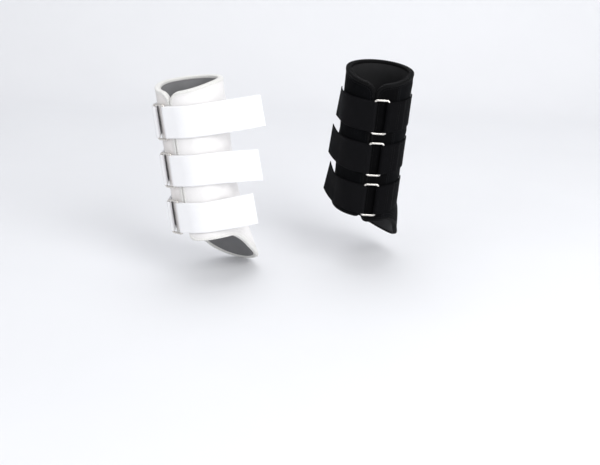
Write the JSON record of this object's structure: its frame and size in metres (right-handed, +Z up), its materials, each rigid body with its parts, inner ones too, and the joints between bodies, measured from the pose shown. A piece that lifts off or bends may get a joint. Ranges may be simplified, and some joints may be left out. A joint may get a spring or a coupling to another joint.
{
  "type": "tendon boots",
  "caption": "Pair of padded wrap-round horse leg boots, white left and black right, with guard tails, wire rings and hook-and-loop straps.",
  "frame": {"origin": "on the white boot's leg axis, level with its middle ring", "axes": "+Z up, +X from the white boot to the black boot, +Y away from the side that shows the white straps"},
  "size_m": [0.328, 0.1569, 0.2757],
  "materials": {
    "white_shell": "matte coated cloth",
    "white_elastic": "ribbed elastic",
    "white_binding": "overlocked thread",
    "white_loop": "brushed loop",
    "white_webbing": "woven webbing",
    "white_hook": "hook tape",
    "black_shell": "matte coated cloth",
    "black_elastic": "ribbed elastic",
    "black_binding": "overlocked thread",
    "black_loop": "brushed loop",
    "black_webbing": "woven webbing",
    "black_hook": "hook tape",
    "lining": "smooth rubberised cloth",
    "foam": "closed-cell foam",
    "plate": "satin",
    "ring_wire": "nickel plated"
  },
  "bodies": {
    "white_boot": {"white_cover": "white_shell", "white_elastic_panel": "white_elastic", "white_lining": "lining", "white_rear_foam": "foam", "white_medial_foam": "foam", "white_front_foam": "foam", "white_strike_plate": "plate", "white_edge_binding": "white_binding", "white_loop_patches": "white_loop", "white_tab_1": "white_webbing", "white_tab_2": "white_webbing", "white_tab_3": "white_webbing", "white_strap_base_1": "white_webbing", "white_strap_base_2": "white_webbing", "white_strap_base_3": "white_webbing"},
    "white_ring_1": {"white_ring_1": "ring_wire"},
    "white_strap_1": {"white_strap_1": "white_webbing", "white_hook_1": "white_hook"},
    "white_ring_2": {"white_ring_2": "ring_wire"},
    "white_strap_2": {"white_strap_2": "white_webbing", "white_hook_2": "white_hook"},
    "white_ring_3": {"white_ring_3": "ring_wire"},
    "white_strap_3": {"white_strap_3": "white_webbing", "white_hook_3": "white_hook"},
    "black_boot": {"black_cover": "black_shell", "black_elastic_panel": "black_elastic", "black_lining": "lining", "black_rear_foam": "foam", "black_medial_foam": "foam", "black_front_foam": "foam", "black_strike_plate": "plate", "black_edge_binding": "black_binding", "black_loop_patches": "black_loop", "black_tab_1": "black_webbing", "black_tab_2": "black_webbing", "black_tab_3": "black_webbing", "black_strap_base_1": "black_webbing", "black_strap_base_2": "black_webbing", "black_strap_base_3": "black_webbing"},
    "black_ring_1": {"black_ring_1": "ring_wire"},
    "black_strap_1": {"black_strap_1": "black_webbing", "black_hook_1": "black_hook"},
    "black_ring_2": {"black_ring_2": "ring_wire"},
    "black_strap_2": {"black_strap_2": "black_webbing", "black_hook_2": "black_hook"},
    "black_ring_3": {"black_ring_3": "ring_wire"},
    "black_strap_3": {"black_strap_3": "black_webbing", "black_hook_3": "black_hook"}
  },
  "joints": [
    {"name": "white_ring_1_swing", "type": "hinge", "parent": "white_boot", "child": "white_ring_1", "pos_m": [-0.05138, -0.01891, 0.05801], "axis": [0.1258, -0.0931, -0.9877], "range_deg": [0, 30]},
    {"name": "white_strap_1_peel", "type": "hinge", "parent": "white_ring_1", "child": "white_strap_1", "pos_m": [-0.03825, -0.02937, 0.06067], "axis": [0.1258, -0.0931, -0.9877], "range_deg": [0, 120]},
    {"name": "white_ring_2_swing", "type": "hinge", "parent": "white_boot", "child": "white_ring_2", "pos_m": [-0.04359, -0.02468, -0.00322], "axis": [0.1258, -0.0931, -0.9877], "range_deg": [0, 30]},
    {"name": "white_strap_2_peel", "type": "hinge", "parent": "white_ring_2", "child": "white_strap_2", "pos_m": [-0.03045, -0.03514, -0.00057], "axis": [0.1258, -0.0931, -0.9877], "range_deg": [0, 120]},
    {"name": "white_ring_3_swing", "type": "hinge", "parent": "white_boot", "child": "white_ring_3", "pos_m": [-0.03579, -0.03045, -0.06446], "axis": [0.1258, -0.0931, -0.9877], "range_deg": [0, 30]},
    {"name": "white_strap_3_peel", "type": "hinge", "parent": "white_ring_3", "child": "white_strap_3", "pos_m": [-0.02265, -0.04091, -0.0618], "axis": [0.1258, -0.0931, -0.9877], "range_deg": [0, 120]},
    {"name": "black_boot_shift", "type": "slide", "parent": "white_boot", "child": "black_boot", "axis": [1, 0, 0], "range_m": [0, 0.1]},
    {"name": "black_ring_1_swing", "type": "hinge", "parent": "black_boot", "child": "black_ring_1", "pos_m": [0.23695, -0.01187, 0.06882], "axis": [0.0592, -0.0515, 0.9969], "range_deg": [0, 30]},
    {"name": "black_strap_1_peel", "type": "hinge", "parent": "black_ring_1", "child": "black_strap_1", "pos_m": [0.22002, -0.01308, 0.06976], "axis": [0.0592, -0.0515, 0.9969], "range_deg": [0, 120]},
    {"name": "black_ring_2_swing", "type": "hinge", "parent": "black_boot", "child": "black_ring_2", "pos_m": [0.23358, -0.00894, 0.01199], "axis": [0.0592, -0.0515, 0.9969], "range_deg": [0, 30]},
    {"name": "black_strap_2_peel", "type": "hinge", "parent": "black_ring_2", "child": "black_strap_2", "pos_m": [0.21665, -0.01014, 0.01294], "axis": [0.0592, -0.0515, 0.9969], "range_deg": [0, 120]},
    {"name": "black_ring_3_swing", "type": "hinge", "parent": "black_boot", "child": "black_ring_3", "pos_m": [0.2302, -0.006, -0.04483], "axis": [0.0592, -0.0515, 0.9969], "range_deg": [0, 30]},
    {"name": "black_strap_3_peel", "type": "hinge", "parent": "black_ring_3", "child": "black_strap_3", "pos_m": [0.21327, -0.00721, -0.04389], "axis": [0.0592, -0.0515, 0.9969], "range_deg": [0, 120]}
  ]
}
